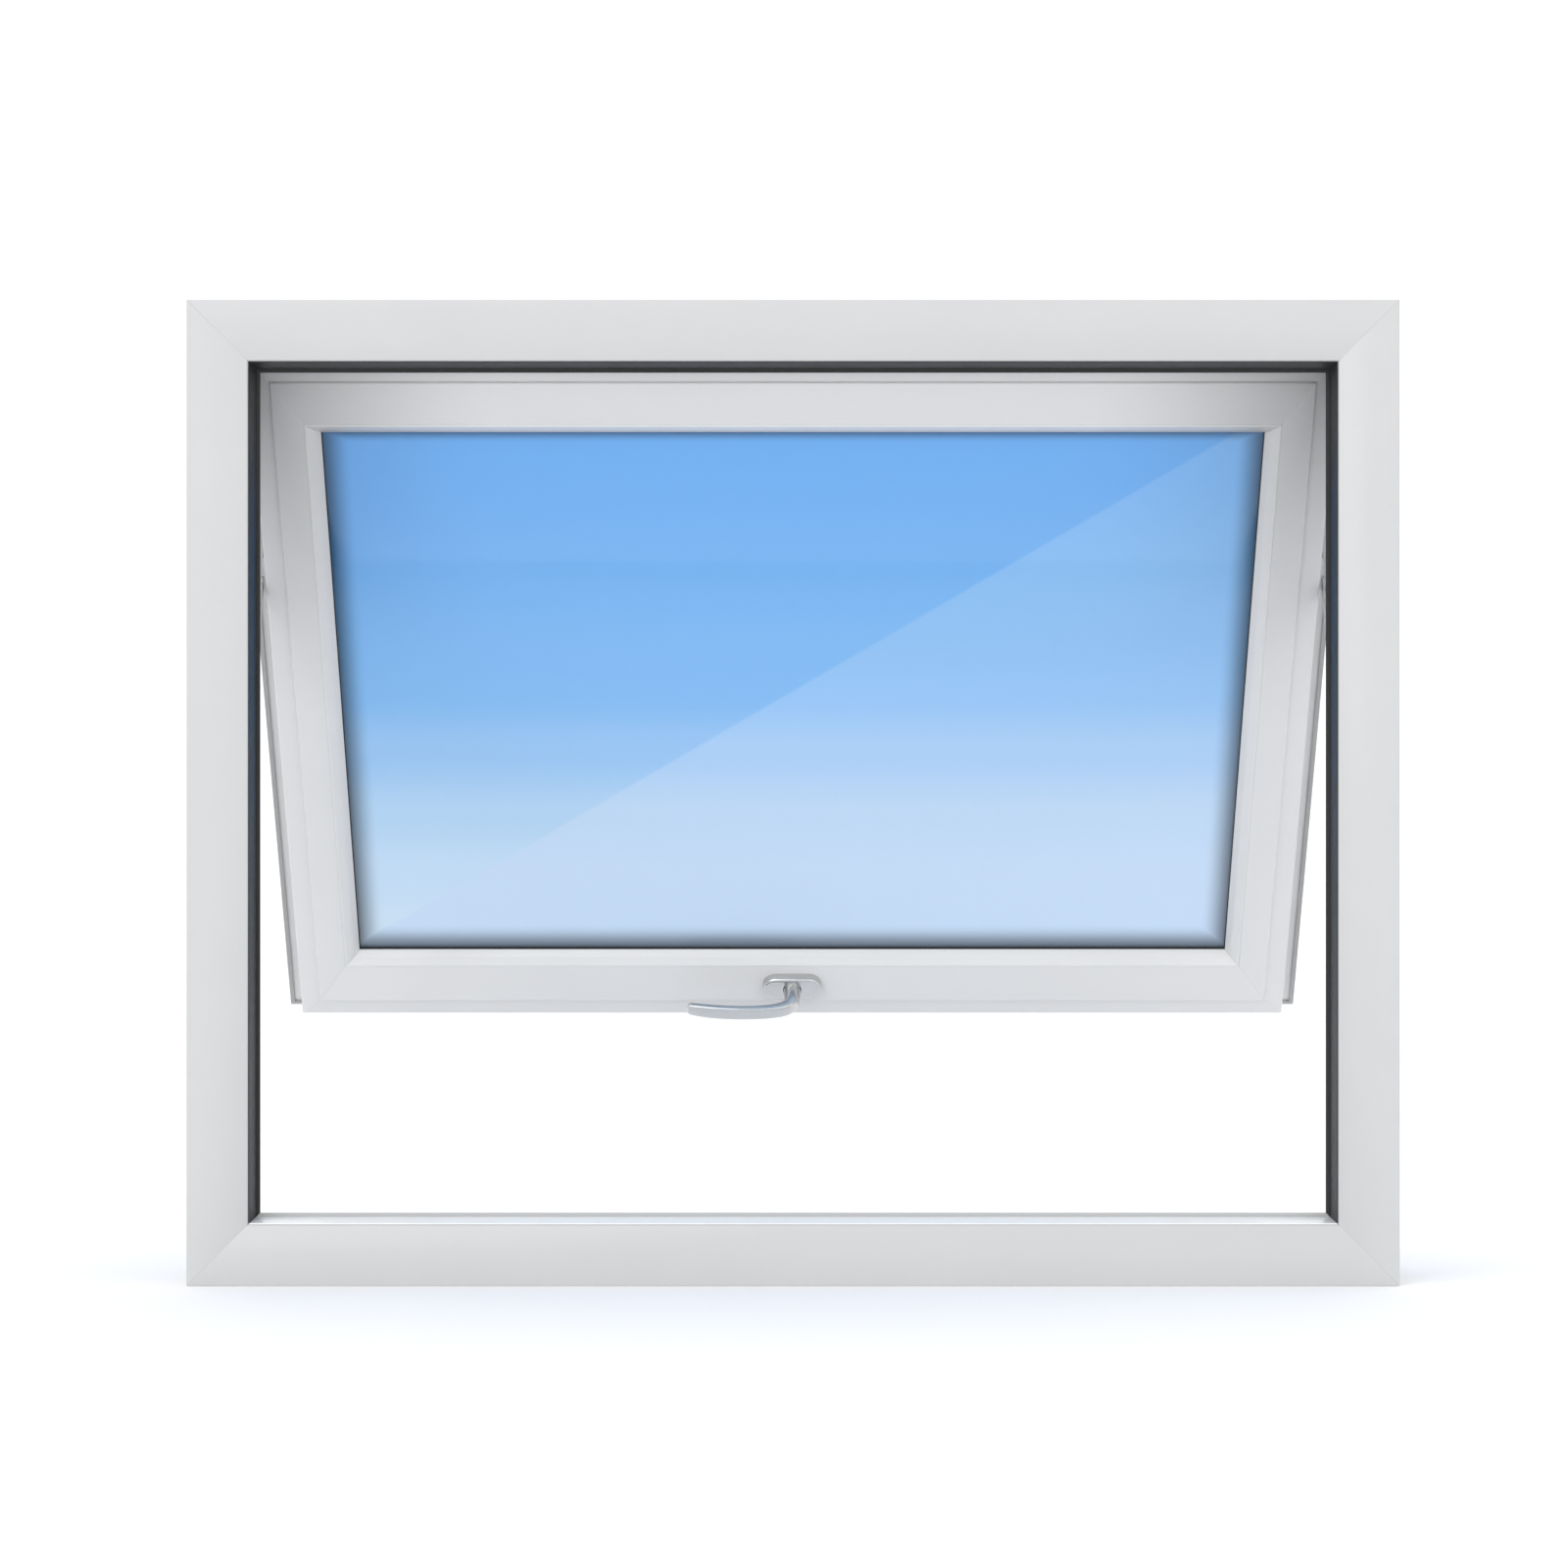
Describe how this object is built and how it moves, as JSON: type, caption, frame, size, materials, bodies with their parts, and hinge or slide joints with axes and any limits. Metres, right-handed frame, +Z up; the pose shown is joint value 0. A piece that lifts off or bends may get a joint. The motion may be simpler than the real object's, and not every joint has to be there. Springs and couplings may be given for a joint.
{
  "type": "top-hung window with glazed sash and lever handle",
  "caption": "Top-hung white plastic window: outward-opening glazed sash on a hook hinge, side stays and a lever handle that drives locking rods.",
  "frame": {"origin": "middle of the outer frame's flat underside, half-way through the frame's depth", "axes": "+X across the window to the right as seen from the room, +Y from the room to the outdoors, +Z up"},
  "size_m": [1.24, 0.6567, 1.008],
  "materials": {
    "pvc_white": "smooth satin-gloss white",
    "bead_white": "smooth satin-gloss white",
    "trim_black": "matt black",
    "trim_white": "smooth white",
    "seal_black": "matt black elastomer",
    "seal_grey": "matt light grey elastomer",
    "glass": "clear float glass, blue sky tint",
    "spacer": "dark anodised",
    "zinc_steel": "zinc plated",
    "hinge_alu": "mill finish",
    "satin_metal": "satin silver",
    "nylon": "black nylon",
    "packer_blue": "blue plastic",
    "brass": "cast",
    "sill_white": "white powder coat"
  },
  "bodies": {
    "frame": {"frame_head": "pvc_white", "frame_sill": "pvc_white", "frame_jamb_left": "pvc_white", "frame_jamb_right": "pvc_white", "frame_steel": "zinc_steel", "reveal_trim_head": "trim_black", "reveal_trim_left": "trim_black", "reveal_trim_right": "trim_black", "reveal_trim_sill": "trim_white", "frame_seal": "seal_black", "head_hinge_rail": "hinge_alu", "head_drip": "pvc_white", "outer_sill": "sill_white", "outer_sill_caps": "pvc_white", "stay_track_left": "zinc_steel", "stay_track_right": "zinc_steel", "lock_keeps": "zinc_steel", "frame_screws": "zinc_steel"},
    "sash": {"sash_top_rail": "pvc_white", "sash_bottom_rail": "pvc_white", "sash_stile_left": "pvc_white", "sash_stile_right": "pvc_white", "sash_steel": "zinc_steel", "bead_top": "bead_white", "bead_bottom": "bead_white", "bead_left": "bead_white", "bead_right": "bead_white", "pane_inner": "glass", "pane_outer": "glass", "glass_spacer": "spacer", "edge_sealant": "seal_black", "bead_gasket": "seal_black", "outer_gasket": "seal_black", "glazing_packers": "packer_blue", "sash_seal": "seal_grey", "sash_hinge_rail": "hinge_alu", "stay_bracket_left": "zinc_steel", "stay_bracket_right": "zinc_steel", "sash_screws": "zinc_steel", "gearbox_case": "zinc_steel", "gearbox_cover": "zinc_steel", "lock_faceplate": "zinc_steel", "rosette_base": "nylon", "rosette_cover": "satin_metal", "rosette_screws": "zinc_steel"},
    "handle": {"lever": "satin_metal", "spindle": "zinc_steel", "pinion": "brass"},
    "rod_left": {"drive_rod_left": "zinc_steel", "lock_cams_left": "hinge_alu"},
    "rod_right": {"drive_rod_right": "zinc_steel", "lock_cams_right": "hinge_alu"},
    "arm_left": {"stay_arm_left": "zinc_steel"},
    "arm_right": {"stay_arm_right": "zinc_steel"},
    "shoe_left": {"stay_shoe_left": "nylon"},
    "shoe_right": {"stay_shoe_right": "nylon"}
  },
  "joints": [
    {"name": "sash_hinge", "type": "hinge", "parent": "frame", "child": "sash", "pos_m": [0, 0.012, 0.962], "axis": [1, 0, 0], "range_deg": [-38.8, 0]},
    {"name": "handle_turn", "type": "hinge", "parent": "sash", "child": "handle", "pos_m": [0, 0.53731, 0.28471], "axis": [0, 0.7793, 0.6266], "range_deg": [0, 90]},
    {"name": "rod_left_slide", "type": "slide", "parent": "sash", "child": "rod_left", "axis": [-1, 0, 0], "range_m": [0, 0.01885]},
    {"name": "rod_right_slide", "type": "slide", "parent": "sash", "child": "rod_right", "axis": [1, 0, 0], "range_m": [0, 0.01885]},
    {"name": "arm_left_pivot", "type": "hinge", "parent": "sash", "child": "arm_left", "pos_m": [-0.5678, 0.19998, 0.7282], "axis": [1, 0, 0], "range_deg": [0, 77.6]},
    {"name": "shoe_left_pivot", "type": "hinge", "parent": "arm_left", "child": "shoe_left", "pos_m": [-0.5678, 0.012, 0.4944], "axis": [1, 0, 0], "range_deg": [-38.8, 0]},
    {"name": "arm_right_pivot", "type": "hinge", "parent": "sash", "child": "arm_right", "pos_m": [0.5678, 0.19998, 0.7282], "axis": [1, 0, 0], "range_deg": [0, 77.6]},
    {"name": "shoe_right_pivot", "type": "hinge", "parent": "arm_right", "child": "shoe_right", "pos_m": [0.5678, 0.012, 0.4944], "axis": [1, 0, 0], "range_deg": [-38.8, 0]}
  ],
  "couplings": [
    {"joint": "rod_left_slide", "follows": "handle_turn", "m_per_rad": 0.012},
    {"joint": "rod_right_slide", "follows": "handle_turn", "m_per_rad": 0.012},
    {"joint": "arm_left_pivot", "follows": "sash_hinge", "ratio": -2},
    {"joint": "shoe_left_pivot", "follows": "sash_hinge", "ratio": 1},
    {"joint": "arm_right_pivot", "follows": "sash_hinge", "ratio": -2},
    {"joint": "shoe_right_pivot", "follows": "sash_hinge", "ratio": 1}
  ]
}
